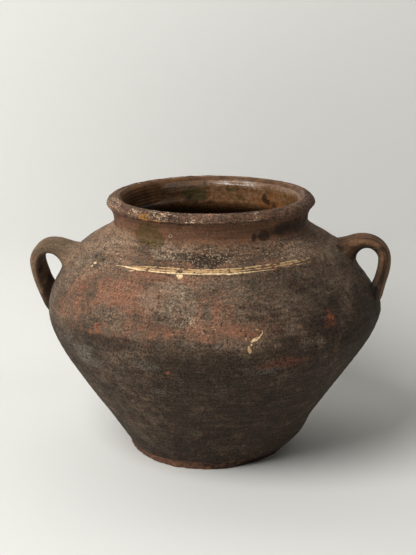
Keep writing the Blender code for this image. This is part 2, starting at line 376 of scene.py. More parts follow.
def strap_spine(strap):
    """Middle line of a strap, from inside the wall over the arch and down to the tail."""
    thickness, low_height, arch_height = strap["thickness"], strap["low"], strap["arch"]
    arch_level = arch_height - (thickness + strap["swell"]) / 2.0
    root_level = arch_height - ROOT_BELOW_ARCH
    reach = strap["reach"] - (thickness + FINGER_CHANNEL) / 2.0
    outward = direction(strap["rise"])
    fall = unit(np.array([outside_radius(low_height - 0.002) - outside_radius(low_height + 0.002), -0.004]))
    home = fall * math.cos(TAIL_TURN) + np.array([fall[1], -fall[0]]) * math.sin(TAIL_TURN)
    seat = np.array([outside_radius(root_level), root_level])
    root = seat - outward * (1.5 * WALL)
    arch = np.array([seat[0] + 0.55 * (reach - seat[0]), arch_level])
    side = np.array([reach, low_height + 0.745 * (arch_level - low_height)])
    low = np.array([outside_radius(low_height) - thickness / 2.0 - TAIL_SINK, low_height])
    top = curve(root, outward, 0.35, arch, -INWARD, 0.36)
    shoulder = curve(arch, -INWARD, 0.38, side, -UP, 0.38)
    limb = curve(side, -UP, 0.3, low, home, 0.35)
    return spaced(np.vstack([top, shoulder[1:], limb[1:]]), STRAP_ROW)


def strap_points(strap):
    spine = strap_spine(strap)
    share = np.linspace(0.0, 1.0, len(spine))
    bearing = strap["facing"] - HANDLE_SWING * share
    centre = place(bearing, spine[:, 0], spine[:, 1])
    along = unit(np.gradient(centre, axis=0))
    across = np.column_stack([np.cos(bearing), np.sin(bearing), np.zeros(len(bearing))])
    across = unit(across - along * np.sum(across * along, axis=1)[:, None])
    inward = np.cross(across, along)
    turn = strap["twist"] * ease(0.3, 0.7, share) * ease(1.0, 0.85, share)
    turned = across * np.cos(turn)[:, None] - inward * np.sin(turn)[:, None]
    inward = inward * np.cos(turn)[:, None] + across * np.sin(turn)[:, None]
    root = np.maximum(0.0, 1.0 - share / 0.4) ** 2
    tail = np.maximum(0.0, (share - 0.7) / 0.3) ** 2
    half_width = (STRAP_WIDTH + ROOT_SPREAD * root + TAIL_SPREAD * tail) / 2.0
    half_strap = (strap["thickness"] + strap["swell"] * bell(share, 0.35, 0.22)) / 2.0
    loop_side = half_strap + strap["under"] * root
    outer_side = half_strap + strap["crest"] * root
    cos, sin = np.cos(STRAP_ANGLES), np.sin(STRAP_ANGLES)
    sideways = np.sign(cos) * np.abs(cos) ** 0.75
    depth = np.sign(sin) * np.abs(sin) ** 0.75
    rise = depth[None, :] * np.where(depth[None, :] > 0.0, loop_side[:, None], outer_side[:, None])
    rise -= np.where(depth > 0.0, FINGER_CHANNEL * (1.0 - sideways ** 2), 0.0)[None, :]
    grid = centre[:, None, :] + turned[:, None, :] * (half_width[:, None] * sideways[None, :])[:, :, None]
    return grid + inward[:, None, :] * rise[:, :, None]


def handle_points(strap):
    """A strap drawn out by wet fingers, whose surface swells out to meet the wall at both roots; its inner
    face and tail corner carry painted shade.
    """
    grid = strap_points(strap)
    points = grid.reshape(-1, 3)
    away = unit(points - np.repeat(grid.mean(axis=1), STRAP_POINTS, axis=0))
    clear = (radius_of(points) - outside_radius(points[:, 2])) * outside_normal(points[:, 2])[0]
    share = np.repeat(np.linspace(0.0, 1.0, len(grid)), STRAP_POINTS)
    angle = np.tile(STRAP_ANGLES, len(grid))
    facing = np.sin(angle)
    unrolled = 0.012 * np.column_stack([np.cos(angle), facing, share])
    groove = strap["streaks"] * ease(-0.1, 0.7, layered_noise(unrolled, 0.0032, 2))
    swell = FILLET / 4.0 * np.clip(1.0 - np.abs(clear) / FILLET, 0.0, 1.0) ** 2
    swell *= ease(1.0, 0.82, share)
    lumps = 0.0005 * noise(points, 0.018) + 0.0002 * noise(points, 0.006)
    points = points + away * (swell + lumps - GROOVE_DEPTH * groove)[:, None]
    # Painted shade on the strap's inner face, and at its tail where the limb meets the wall.
    inside = strap["painted_shade"] * ease(-0.1, 0.8, facing) * ease(0.1, 0.2, share)
    corner = 1.3 * ease(0.013, 0.003, clear) * ease(-1.0, -0.5, facing)
    corner *= ease(0.6, 0.72, share) * ease(1.0, 0.9, share)
    # Painted shade in the wedge between the lower limb and the wall.
    wedge = ease(0.0088, 0.0058, clear + 0.0024 * noise(points, 0.004))
    wedge *= ease(0.74, 0.86, share) * ease(0.97, 0.9, share) * ease(-0.75, -0.35, facing)
    layers = paint_layers(points)
    layers["groove"] = groove
    layers["inside"] = np.maximum(inside, corner)
    layers["crevice"] = strap["streaks"] * wedge
    return points, len(grid), layers


def build_handle(name, strap):
    points, rows, layers = handle_points(strap)
    faces = capped_faces(rows, STRAP_POINTS)
    item = mesh_object(name, settle(points), faces, layers)
    item.data.flip_normals()
    return item, BVHTree.FromPolygons(points.tolist(), faces)


# Stains, wear, painted light and painted shade by layer: bearing in degrees, height, half width, half height,
# strength
PATCHES = {
    "red": [
        (-55, 0.172, 0.04, 0.02, 0.7), (-34, 0.19, 0.038, 0.016, 1.0), (-46, 0.198, 0.03, 0.012, 0.7),
        (-24, 0.208, 0.07, 0.005, 0.7), (-24, 0.167, 0.05, 0.009, 0.8), (0, 0.167, 0.045, 0.009, 0.9),
        (2, 0.196, 0.03, 0.016, 0.55), (-36, 0.158, 0.03, 0.006, 0.6), (-12, 0.2195, 0.03, 0.003, 0.7),
        (8, 0.219, 0.012, 0.002, 0.9), (25, 0.22, 0.02, 0.002, 0.8), (-76, 0.165, 0.03, 0.02, 0.3),
        (-54, 0.193, 0.024, 0.014, 0.8), (-4, 0.181, 0.004, 0.02, 0.8), (1, 0.18, 0.0035, 0.018, 0.75),
        (6, 0.183, 0.0035, 0.016, 0.65),
    ],
    "ember": [(24, 0.1355, 0.026, 0.005, 1.1), (43, 0.167, 0.008, 0.006, 0.9)],
    # Grey ash, with a painted sheen on the lower left of the belly.
    "ash_and_sheen": [
        (-75, 0.17, 0.012, 0.016, 0.55), (-57, 0.143, 0.016, 0.012, 0.55), (-50, 0.131, 0.018, 0.012, 1.0),
        (-44, 0.123, 0.014, 0.008, 0.7), (-19, 0.103, 0.016, 0.006, 0.45), (16, 0.13, 0.018, 0.006, 0.6),
        (44, 0.051, 0.02, 0.008, 0.35), (-23.5, 0.1327, 0.014, 0.006, 0.7),
    ],
    # Soot, with painted shade on the right side, under the right of the rim, at the right handle's lower root
    # and in the burst pit.
    "soot_and_shade": [
        (-62, 0.171, 0.032, 0.018, 0.24), (-2, 0.2225, 0.02, 0.0045, 0.85), (-13, 0.226, 0.02, 0.003, 0.7),
        (7, 0.2235, 0.012, 0.003, 0.7), (-30, 0.151, 0.05, 0.006, 0.8), (5, 0.13, 0.03, 0.004, 0.7),
        (-4, 0.08, 0.012, 0.004, 0.9), (-36, 0.0925, 0.008, 0.006, 0.8), (62, 0.145, 0.11, 0.05, 0.85),
        (12, 0.03, 0.09, 0.03, 0.85), (34, 0.178, 0.06, 0.024, 0.48), (88, 0.174, 0.012, 0.01, 0.9),
        (24.8, 0.2385, 0.0034, 0.0052, 1.6), (-60.7, 0.2142, 0.0022, 0.0018, 1.4),
        (-54, 0.2149, 0.0026, 0.0018, 1.4), (-23.3, 0.2405, 0.001, 0.001, 1.4),
        (30.5, 0.239, 0.0078, 0.0056, 1.9), (47, 0.242, 0.03, 0.007, 0.95),
        (66, 0.243, 0.026, 0.007, 0.85), (81, 0.212, 0.007, 0.004, 0.9),
    ],
    # Pale dust, with a painted sheen low on the left and painted light on the left of the collar.
    "pale_dust_and_sheen": [
        (-16, 0.192, 0.03, 0.014, 0.85), (69, 0.213, 0.026, 0.0075, 0.85), (-9, 0.184, 0.028, 0.01, 0.65),
        (-8, 0.174, 0.03, 0.008, 0.5), (-38, 0.141, 0.025, 0.01, 0.5), (-33, 0.133, 0.03, 0.008, 0.45),
        (40, 0.224, 0.03, 0.007, 0.6), (-65, 0.212, 0.045, 0.022, 0.7), (-50, 0.228, 0.03, 0.01, 0.6),
        (-21, 0.228, 0.018, 0.006, 1.4), (51, 0.226, 0.018, 0.005, 0.9), (-4.5, 0.2205, 0.006, 0.003, 1.3),
    ],
    "flake": [
        (-42, 0.163, 0.006, 0.004, 0.85), (-44, 0.156, 0.003, 0.004, 0.95), (-41, 0.158, 0.003, 0.002, 0.8),
        (-32, 0.172, 0.005, 0.004, 0.85), (-15, 0.127, 0.003, 0.0025, 1.5), (43, 0.167, 0.004, 0.005, 0.75),
        (20, 0.137, 0.01, 0.004, 0.55), (28, 0.215, 0.0025, 0.002, 1.0),
    ],
    "glazed": [(-40, 0.2385, 0.016, 0.0075, 1.5), (-38, 0.248, 0.012, 0.003, 1.3)],
    "gold": [(-30, 0.2548, 0.011, 0.0014, 1.3), (-38, 0.2565, 0.0085, 0.0045, 1.6)],
    "grit": [
        (-4, 0.2225, 0.05, 0.008, 1.0), (-13, 0.19, 0.03, 0.01, 0.6), (-9, 0.176, 0.022, 0.007, 0.6),
        (40, 0.224, 0.035, 0.008, 0.8), (-58, 0.222, 0.03, 0.01, 0.8),
    ],
}
LINING_PATCHES = {
    "olive": [
        (-169, 0.244, 0.017, 0.007, 1.0), (165, 0.249, 0.016, 0.008, 1.0), (157, 0.243, 0.01, 0.006, 0.8),
        (100, 0.246, 0.012, 0.006, 0.8),
    ],
    "burn": [
        (-163, 0.24, 0.006, 0.004, 0.9), (140, 0.244, 0.003, 0.004, 1.2), (145, 0.24, 0.004, 0.002, 0.7),
        (138, 0.2405, 0.004, 0.0022, 1.0), (156, 0.2405, 0.005, 0.004, 0.9),
        (131, 0.24, 0.004, 0.003, 0.8), (-176, 0.237, 0.03, 0.004, 0.5),
    ],
    "dull": [(-105, 0.2395, 0.08, 0.0045, 1.2), (4, 0.25, 0.05, 0.012, 0.9)],
    "wet": [(-152, 0.251, 0.044, 0.005, 1.0), (167, 0.2575, 0.01, 0.003, 1.5)],
    # Painted shade deep in the inside.
    "painted_depth_shade": [(-120, 0.24, 0.044, 0.004, 1.0)],
    "bubbly": [(160, 0.2535, 0.016, 0.0045, 1.3)],
    "amber": [
        (143, 0.24, 0.018, 0.006, 0.9), (128, 0.237, 0.02, 0.006, 0.8), (120, 0.25, 0.02, 0.008, 0.5),
    ],
}
NECK_LINE = (0.2305, 0.2375)
FOOT_BAND = (0.0125, 0.007)
# Heights over which shade is painted round the right of the foot.
FOOT_SHADE_BAND = (0.0085, 0.004)
# Height below which the wall darkens with smoke, more on the right as painted shade.
SMOKE_AND_SHADE_LINE = (0.168, 0.14)


def painted_patches(points, patches):
    bearing = bearing_of(points)
    radius = radius_of(points)
    ragged = 0.55 * layered_noise(points, 0.022, 4)
    layers = {layer: np.zeros(len(points)) for layer in patches}
    for layer, rows in patches.items():
        for degrees, height, half_width, half_height, strength in rows:
            turn = (bearing - math.radians(degrees) + math.pi) % math.tau - math.pi
            reach = np.hypot(turn * radius / half_width, (points[:, 2] - height) / half_height)
            patch = strength * ease(1.7, 0.3, reach + ragged)
            layers[layer] = np.maximum(layers[layer], patch)
    return layers


def paint_layers(points):
    """Each layer's strength at the given points, from the patches and from chance round the back; some carry
    painted light and shade.
    """
    layers = painted_patches(points, PATCHES)
    z = points[:, 2]
    bearing = bearing_of(points)
    drift = layered_noise(points + 0.4, 0.075, 4)
    behind = ease(1.4, 1.9, np.abs(bearing)) * ease(0.13, 0.16, z)
    layers["red"] = np.maximum(layers["red"], behind * 0.9 * ease(0.05, 0.5, drift))
    layers["pale_dust_and_sheen"] = np.maximum(layers["pale_dust_and_sheen"], behind * 0.7 * ease(0.1, 0.6, -drift))
    under_rim = ease(-0.0015, -0.0035, z - RIM_EDGE_HEIGHT)
    layers["neck"] = ease(*NECK_LINE, z + 0.003 * drift) * under_rim
    # The redder foot band is stronger on the left as painted light.
    painted_light_left = ease(0.35, -0.45, np.sin(bearing))
    layers["foot"] = (0.45 + 0.65 * painted_light_left) * ease(*FOOT_BAND, z + 0.003 * drift)
    # Painted shade round the right of the foot where it meets the floor.
    right_foot_shade = ease(0.05, 0.55, bearing) * ease(2.6, 1.9, bearing)
    layers["crevice"] = 0.62 * right_foot_shade * ease(*FOOT_SHADE_BAND, z + 0.002 * drift)
    # Darker towards the bottom as smoke, and more to the right as painted shade.
    right_side_shade = ease(-0.6, 0.2, bearing) * ease(math.pi, 2.2, bearing)
    smoke_and_shade = (0.64 + 0.26 * right_side_shade) * ease(*SMOKE_AND_SHADE_LINE, z + 0.01 * drift)
    layers["soot_and_shade"] = np.maximum(layers["soot_and_shade"], smoke_and_shade)
    return layers


# Materials
def put(value, socket):
    """Links a field to the socket, or sets the socket to a constant."""
    if isinstance(value, Field):
        socket.id_data.links.new(value.socket, socket)
    elif socket.type == "RGBA":
        socket.default_value = (*value, 1.0)
    else:
        socket.default_value = value


def add_node(tree, kind, inputs=None, **settings):
    node = tree.nodes.new(kind)
    for key, value in settings.items():
        setattr(node, key, value)
    for key, value in (inputs or {}).items():
        put(value, node.inputs[key])
    return node


class Field:
    """What a node puts out, which can be reckoned with like a number."""

    def __init__(self, socket):
        self.socket = socket

    def calc(self, operation, other):
        node = add_node(self.socket.id_data, "ShaderNodeMath", {0: self, 1: other}, operation=operation)
        return Field(node.outputs[0])

    def __add__(self, other):
        return self.calc("ADD", other)

    def __sub__(self, other):
        return self.calc("SUBTRACT", other)

    def __mul__(self, other):
        return self.calc("MULTIPLY", other)

    def larger(self, other):
        return self.calc("MAXIMUM", other)

    def ramp(self, low, high, start=0.0, end=1.0):
        inputs = {"Value": self, "From Min": low, "From Max": high, "To Min": start, "To Max": end}
        node = add_node(self.socket.id_data, "ShaderNodeMapRange", inputs, interpolation_type="SMOOTHSTEP")
        return Field(node.outputs["Result"])


class Paint:
    """One material, whose tone is laid on coat by coat."""

    def __init__(self, name):
        self.material = bpy.data.materials.new(name)
        self.material.use_nodes = True
        self.tree = self.material.node_tree
        self.shader = self.tree.nodes["Principled BSDF"]

    def field(self, kind, output, inputs=None, **settings):
        return Field(add_node(self.tree, kind, inputs, **settings).outputs[output])

    def layer(self, name):
        return self.field("ShaderNodeAttribute", "Fac", attribute_name=name)

    def fog(self, scale, detail, roughness, stretch=None):
        """Cloudy noise in the object's own space, which a stretch sets finer across and upward."""
        where = self.field("ShaderNodeTexCoord", "Object")
        if stretch:
            across, upward = stretch
            where = self.field("ShaderNodeMapping", 0, {"Vector": where, "Scale": (across, across, upward)})
        inputs = {"Vector": where, "Scale": scale, "Detail": detail, "Roughness": roughness}
        return self.field("ShaderNodeTexNoise", "Fac", inputs)

    def blend(self, share, first, second, kind="MIX"):
        inputs = {0: share, 6: first, 7: second}
        return self.field("ShaderNodeMix", 2, inputs, data_type="RGBA", blend_type=kind)

    def coat(self, share, colour, kind="MIX"):
        self.tone = self.blend(share, self.tone, colour, kind)

    def stain(self, layer, edge, colour, low, high, most):
        """A coat where a painted layer is strong, with a ragged edge."""
        self.coat((self.layer(layer) + edge).ramp(low, high, 0.0, most), colour)

    def bumps(self, height, strength, distance):
        inputs = {"Height": height, "Strength": strength, "Distance": distance}
        put(self.field("ShaderNodeBump", "Normal", inputs), self.shader.inputs["Normal"])

    def finish(self, roughness, specular):
        inputs = {"Base Color": self.tone, "Roughness": roughness, "Specular IOR Level": specular}
        for key, value in inputs.items():
            put(value, self.shader.inputs[key])
        return self.material


# Tones of each clay: light, dark and warm
BODY_TONES = ((0.135, 0.092, 0.062), (0.08, 0.055, 0.037), (0.162, 0.088, 0.053))
COLLAR_TONES = ((0.2, 0.125, 0.078), (0.108, 0.068, 0.043), (0.205, 0.104, 0.058))
RIM_TONES = ((0.132, 0.076, 0.048), (0.078, 0.046, 0.029), (0.13, 0.064, 0.037))
# The left handle's tones are lighter as painted light from the left; the right handle's are darker as painted
# shade, and redder.
LEFT_TONES = ((0.24, 0.158, 0.096), (0.12, 0.08, 0.05), (0.23, 0.122, 0.068))
RIGHT_TONES = ((0.168, 0.088, 0.044), (0.09, 0.047, 0.025), (0.182, 0.08, 0.039))
BASE_TONES = ((0.15, 0.068, 0.039), (0.062, 0.032, 0.02), (0.19, 0.072, 0.036))
BLISTER_TONES = ((0.42, 0.31, 0.23), (0.3, 0.22, 0.16), (0.4, 0.28, 0.2))
COLLAR_RISE = (0.215, 0.25)

# Stains on the clay, some with painted shade and sheen in them: layer, raggedness, colour, strengths at which
# it begins and is full, greatest share
# Colour of soot, also used for painted shade.
SOOT_AND_SHADE = (0.0205, 0.0138, 0.0088)
CLAY_STAINS = (
    ("red", 1.0, (0.222, 0.103, 0.061), 0.25, 1.0, 0.8),
    # The pale and ash stains carry painted sheen and light on the left as well as dust and ash.
    ("pale_dust_and_sheen", 1.0, (0.225, 0.162, 0.11), 0.3, 1.0, 0.65),
    ("soot_and_shade", 0.85, SOOT_AND_SHADE, 0.1, 1.0, 0.85),
    ("ash_and_sheen", 0.85, (0.122, 0.103, 0.082), 0.2, 1.0, 0.75),
    ("ember", 1.0, (0.112, 0.043, 0.026), 0.35, 1.0, 0.75),
    ("flake", 1.0, (0.24, 0.078, 0.034), 0.5, 1.0, 0.7),
    ("foot", 1.0, (0.215, 0.105, 0.062), 0.4, 1.1, 0.7),
    ("glazed", 1.0, (0.07, 0.043, 0.011), 0.3, 0.8, 0.8),
)

# Other colours on the clay, among them painted shade and a painted highlight
NECK_CLAY = (0.152, 0.073, 0.04)
# Dark painted shade on inner faces, in corners and in the left throat.
INNER_PAINTED_SHADE = (0.031, 0.02, 0.012)
GOLD_RUN = (0.24, 0.115, 0.03)
AMBER = (0.135, 0.066, 0.029)
AMBER_DARK = (0.075, 0.034, 0.014)
LIP_SCRATCH = (0.05, 0.028, 0.017)
LIP_RUST = (0.13, 0.05, 0.028)
LIP_CHAR = (0.026, 0.016, 0.011)
LIP_SCUFF = (0.54, 0.385, 0.27)
# Pale painted highlight along the crest of the rim.
CREST_PAINTED_HIGHLIGHT = (0.27, 0.165, 0.11)
GRIT_FLECK = (0.34, 0.255, 0.175)
PORE = (0.011, 0.0085, 0.0065)
# Painted shade in the finger grooves of the straps.
GROOVE_PAINTED_SHADE = (0.028, 0.017, 0.011)
# Near black painted shade in crevices: by the limbs, round the right of the foot and in the left throat.
CREVICE_PAINTED_SHADE = (0.005, 0.0035, 0.0025)
CRUMB_LIGHT = (2.1, 2.1, 2.1)

# Colours of the glaze, its painted shade and painted ridge highlights, the slip and the paper
GLAZE_THICK = (0.11, 0.053, 0.022)
GLAZE_THIN = (0.225, 0.114, 0.052)
GLAZE_LINE = (0.07, 0.032, 0.014)
GLAZE_AMBER = (0.2, 0.078, 0.018)
GLAZE_POOL = (0.058, 0.042, 0.013)
GLAZE_OLIVE = (0.055, 0.043, 0.014)
GLAZE_BURN = (0.015, 0.011, 0.0085)
GLAZE_SPOT = (0.018, 0.012, 0.008)
# Near black painted shade for the dark depths of the inside.
GLAZE_PAINTED_SHADE = (0.0045, 0.0032, 0.0022)
# Pale painted highlight on the crests of the left ridges.
GLAZE_RIDGE_HIGHLIGHT = (0.45, 0.3, 0.19)
SLIP_THIN = (0.2, 0.105, 0.045)
SLIP_GOLD = (0.5, 0.31, 0.14)
SLIP_CREAM = (0.84, 0.63, 0.37)
SLIP_STAIN = (0.36, 0.2, 0.08)
SLIP_RUBBED = (0.07, 0.045, 0.03)
PAPER = (0.785, 0.79, 0.77)


def wear_lip(paint):
    """Scratches, rust, char and pale scuffs on the face of the rim."""
    flat = (1.0, 2.2)
    scratch = paint.fog(46.0, 3.0, 0.6, (1.0, 16.0)).ramp(0.52, 0.62, 0.0, 0.9)
    rust = paint.fog(230.0, 4.0, 0.7, flat).ramp(0.52, 0.62, 0.0, 0.8)
    char = paint.fog(260.0, 5.0, 0.8, flat).ramp(0.53, 0.6, 0.0, 0.95)
    cluster = paint.fog(52.0, 3.0, 0.6).ramp(0.46, 0.6, 0.08, 1.0) * paint.layer("scuffed")
    scuff = paint.fog(460.0, 3.0, 0.75, flat).ramp(0.52, 0.58, 0.0, 0.9) * cluster
    lip = paint.layer("lip")
    for share, colour in ((scratch, LIP_SCRATCH), (rust, LIP_RUST), (char, LIP_CHAR), (scuff, LIP_SCUFF)):
        paint.coat(share * lip, colour)


def roughen(paint, grain, pores, neck, grit):
    """Small changes of hue and tone, loose crumbs, pores, coarse grain and throwing streaks."""
    hue = paint.fog(88.0, 5.0, 0.68)
    tint = paint.fog(205.0, 4.0, 0.68)
    gritty = paint.layer("grit")
    even = paint.layer("red").ramp(0.2, 0.9, 1.0, 0.68)
    calm = (neck * -0.65 + 1.0) * even
    for field, low, high, shift in (
        (hue, 0.53, 0.66, (1.14, 0.94, 0.87)), (hue, 0.47, 0.34, (0.82, 0.95, 1.0)),
        (tint, 0.54, 0.68, (1.34, 1.16, 1.06)), (tint, 0.46, 0.32, (0.66, 0.64, 0.64)),
    ):
        paint.coat(field.ramp(low, high, 0.0, 0.8 * grit) * calm, shift, "MULTIPLY")
    loose = paint.fog(440.0, 3.0, 0.7) + gritty * 0.05
    paint.coat(loose.ramp(0.615, 0.66, 0.0, 0.85 * grit), CRUMB_LIGHT, "MULTIPLY")
    paint.coat(loose.ramp(0.595, 0.65, 0.0, 0.8) * gritty, GRIT_FLECK)
    paint.coat((pores - gritty * 0.03).ramp(0.385, 0.34, 0.0, 0.8 * grit), PORE)
    patchy = paint.fog(30.0, 4.0, 0.6).ramp(0.42, 0.6, 0.66, 1.0)
    paint.coat(patchy.larger(gritty) * calm * grit, grain.ramp(0.32, 0.68, 0.28, 1.8), "MULTIPLY")
    streak = paint.fog(3.0, 5.0, 0.65, (12.0, 150.0))
    paint.coat(even * even * grit, streak.ramp(0.32, 0.68, 0.72, 1.28), "MULTIPLY")


def clay(name, tones, high_tones=None, grit=1.0):
    """Coarse, smoke-darkened earthenware with the painted layers over it, some of which are painted light and
    shade.
    """
    paint = Paint(name)
    cloud = paint.fog(16.0, 5.0, 0.6)
    mottle = paint.fog(70.0, 8.0, 0.7)
    blot = paint.fog(125.0, 5.0, 0.68)
    grain = paint.fog(520.0, 3.0, 0.75)
    pores = paint.fog(360.0, 3.0, 0.65)
    neck = paint.layer("neck")
    ragged = (mottle - 0.5) * 2.6

    light, dark, warm = tones
    if high_tones:
        where = paint.field("ShaderNodeTexCoord", "Object")
        height = paint.field("ShaderNodeSeparateXYZ", "Z", {"Vector": where})
        above = (height + cloud * 0.03).ramp(*COLLAR_RISE)
        light, dark, warm = (paint.blend(above, low, high) for low, high in zip(tones, high_tones))
    paint.tone = paint.blend(cloud.ramp(0.38, 0.62), dark, light)
    paint.coat(mottle.ramp(0.5, 0.7, 0.0, 0.5), warm)
    paint.coat(neck.ramp(0.1, 0.9, 0.0, 0.75), NECK_CLAY)
    for layer, raggedness, colour, low, high, most in CLAY_STAINS:
        paint.stain(layer, ragged * raggedness, colour, low, high, most)
    paint.coat(blot.ramp(0.57, 0.72, 0.0, 0.6 * grit), SOOT_AND_SHADE)
    wear_lip(paint)
    paint.stain("gold", ragged * 0.5, GOLD_RUN, 0.45, 0.75, 0.85)
    roughen(paint, grain, pores, neck, grit)
    # Painted shade in the finger grooves.
    paint.coat(paint.layer("groove").ramp(0.2, 0.9, 0.0, 0.7), GROOVE_PAINTED_SHADE)
    # Painted shade on inner faces and in corners.
    paint.stain("inside", ragged, INNER_PAINTED_SHADE, 0.2, 1.0, 0.9)
    # Painted shade in crevices.
    paint.coat(paint.layer("crevice").ramp(0.3, 0.8, 0.0, 0.95), CREVICE_PAINTED_SHADE)
    glazed_lip = paint.blend(mottle.ramp(0.4, 0.6), AMBER, AMBER_DARK)
    paint.coat(paint.layer("amber").ramp(0.4, 0.6), glazed_lip)
    # Painted highlight along the crest.
    paint.coat(paint.layer("crest").ramp(0.2, 1.0, 0.0, 0.7), CREST_PAINTED_HIGHLIGHT)

    paint.bumps(grain * 0.55 + mottle * 0.45 + pores.ramp(0.3, 0.42, 0.0, 0.5), 0.6, 0.0012 * grit)
    shine = paint.layer("glazed").larger(neck) * 0.4
    gloss = paint.layer("gloss") * blot.ramp(0.4, 0.6, 0.45, 0.9)
    return paint.finish(shine.larger(gloss).ramp(0.3, 0.9, 0.84, 0.28), 0.2)


def lead_glaze(name):
    """Thin amber glaze with olive pools and burnt spots, painted shade in its depths and on the left, and
    painted highlights on the left ridges.
    """
    paint = Paint(name)
    burn = paint.fog(75.0, 6.0, 0.68)
    fine = paint.fog(230.0, 4.0, 0.7)
    lines = paint.fog(4.0, 4.0, 0.6, (10.0, 90.0))
    ragged = (burn - 0.5) * 3.2

    paint.tone = paint.blend(fine.ramp(0.3, 0.7), GLAZE_THICK, GLAZE_THIN)
    paint.coat(lines.ramp(0.5, 0.7, 0.0, 0.5), GLAZE_LINE)
    paint.stain("amber", ragged, GLAZE_AMBER, 0.3, 0.9, 0.8)
    paint.coat(paint.fog(34.0, 6.0, 0.65).ramp(0.56, 0.68, 0.0, 0.6), GLAZE_POOL)
    paint.stain("olive", ragged, GLAZE_OLIVE, 0.3, 0.9, 0.85)
    paint.stain("burn", ragged, GLAZE_BURN, 0.3, 1.1, 0.85)
    paint.coat(burn.ramp(0.63, 0.72, 0.0, 0.8), GLAZE_SPOT)
    # Painted shade in the depths and on the left of the inside.
    paint.coat(paint.layer("painted_depth_shade"), GLAZE_PAINTED_SHADE)
    # Painted highlight on the left ridges.
    paint.coat(paint.layer("ridge") * 0.7, GLAZE_RIDGE_HIGHLIGHT)

    bubbles = paint.fog(330.0, 2.0, 0.6) * (paint.layer("bubbly") * 1.6 + 0.2)
    paint.bumps(lines * 0.8 + fine * 0.4 + bubbles, 0.5, 0.0016)
    rough = fine.ramp(0.4, 0.62, 0.09, 0.42).larger(paint.layer("dull") * 0.85)
    return paint.finish(rough * paint.layer("wet").ramp(0.2, 1.0, 1.0, 0.15), 0.65)


def cream_slip(name):
    """Cream where the slip lies thick, golden where the clay shows through."""
    paint = Paint(name)
    rub = paint.fog(420.0, 4.0, 0.75)
    thick = paint.layer("cover") + (rub - 0.5)
    paint.tone = paint.blend(thick.ramp(0.15, 0.65), SLIP_THIN, SLIP_GOLD)
    paint.coat(thick.ramp(0.74, 1.08), SLIP_CREAM)
    paint.coat(paint.fog(60.0, 4.0, 0.6).ramp(0.48, 0.66, 0.0, 0.7), SLIP_STAIN)
    paint.coat(rub.ramp(0.4, 0.34, 0.0, 0.85), SLIP_RUBBED)
    paint.bumps(rub, 0.5, 0.0006)
    return paint.finish(0.7, 0.5)


def one_sided_paper(name):
    """Pale paper that is clear from its back, so that the pot can be seen from every side."""
    paint = Paint(name)
    paint.tone = PAPER
    back = paint.field("ShaderNodeNewGeometry", "Backfacing")
    clear = paint.field("ShaderNodeBsdfTransparent", 0)
    mixed = paint.field("ShaderNodeMixShader", 0, {0: back, 1: Field(paint.shader.outputs[0]), 2: clear})
    put(mixed, paint.tree.nodes["Material Output"].inputs["Surface"])
    return paint.finish(0.9, 0.2)


# Pieces of the pot
def finish_piece(item, material, node=None):
    item.data.materials.append(material)
    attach(item, "root")
    if node:
        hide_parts(node)


def finger_lines(points, pitch, slant, waver, waver_size):
    """Lines combed by fingers round the inside, as a wave from -1 to 1."""
    shift = slant * bearing_of(points) + waver * noise(points, waver_size)
    return np.sin(math.pi * points[:, 2] / pitch + shift)


def bare_throat(points):
    """Where the glaze missed the left side of the throat."""
    side = points[:, 0] / radius_of(points)
    return ease(-0.35, -0.8, side + 0.14 * layered_noise(points, 0.02, 3))


def throat_ridges(points):
    """The rim's inside with ridges in the bare part of the throat."""
    comb = np.abs(finger_lines(points, 0.0034, 1.0, 1.2, 0.03))
    inner = ease(CREST_RADIUS - 0.003, CREST_RADIUS - 0.005, radius_of(points))
    return pushed_out(points, -0.0005 * comb * inner * bare_throat(points))


def rim_layers(points):
    """Wear on the rim's face, a painted highlight along its crest, glaze on the inner side of its lip and
    painted shade in the bare left throat.
    """
    z = points[:, 2]
    radius = radius_of(points)
    bearing = bearing_of(points)
    inner = CREST_RADIUS - 0.0012 - radius + 0.0009 * noise(points, 0.012)
    face = ease(RIM_EDGE_HEIGHT - 0.0012, RIM_EDGE_HEIGHT + 0.0004, z)
    # Pale line of painted highlight just inside the crest.
    crest = bell(radius, CREST_RADIUS - 0.0018, 0.001) * ease(-0.6, 0.4, noise(points, 0.009))
    amber = ease(-0.0005, 0.0005, inner)
    dull = ease(-0.2, -0.7, points[:, 0] / radius)
    scuffed = 0.25 + 0.75 * np.maximum(ease(0.75, 0.25, bearing), ease(2.2, 3.0, bearing))
    # Painted shade in the bare left throat.
    throat = bare_throat(points) * ease(0.261, 0.2545, z) * ease(0.0, 0.002, inner)
    return {
        "lip": face, "crest": crest * face, "amber": amber, "gloss": amber * (1.0 - dull), "scuffed": scuffed,
        "inside": 1.35 * throat, "crevice": 0.82 * throat * ease(0.26, 0.252, z),
    }


def build_section(name, outside, inside, raise_by, more_layers=None, inner_row=INNER_ROW, carve=None):
    """A closed ring: a fine outside that carries the relief and a plain or carved inside."""
    outer = edged(spaced(outside, ROW))
    inner = spaced(inside, inner_row)[::-1]
    lined = turned_points(inner)
    true_points = np.vstack([turned_points(outer), lined])
    points = np.vstack([skin_points(outer, raise_by), carve(lined) if carve else lined])
    layers = paint_layers(true_points)
    if more_layers:
        layers.update(more_layers(true_points))
    return mesh_object(name, settle(points), ring_faces(len(outer) + len(inner), BEARINGS, True), layers)


